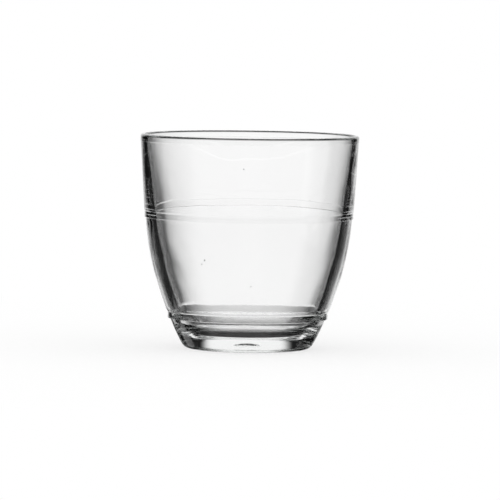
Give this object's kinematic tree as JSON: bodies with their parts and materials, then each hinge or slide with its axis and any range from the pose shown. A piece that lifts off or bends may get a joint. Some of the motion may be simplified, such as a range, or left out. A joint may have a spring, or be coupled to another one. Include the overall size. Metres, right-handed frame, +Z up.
{
  "type": "tumbler",
  "caption": "Short clear pressed-glass tumbler with a rounded rim, a stepped stacking band, a curved bowl and a thick banded foot with a shallow recess beneath.",
  "frame": {"origin": "centre of the resting face under the foot", "axes": "+Z up the glass's own axis; X and Y are free, because the glass is a body of revolution"},
  "size_m": [0.0784, 0.0784, 0.0768],
  "materials": {
    "clear_glass": "colourless toughened soda-lime glass, fire polished, fully clear, with a faint grey-green tint in the thick foot"
  },
  "bodies": {
    "root": {"tumbler": "clear_glass"}
  },
  "joints": []
}
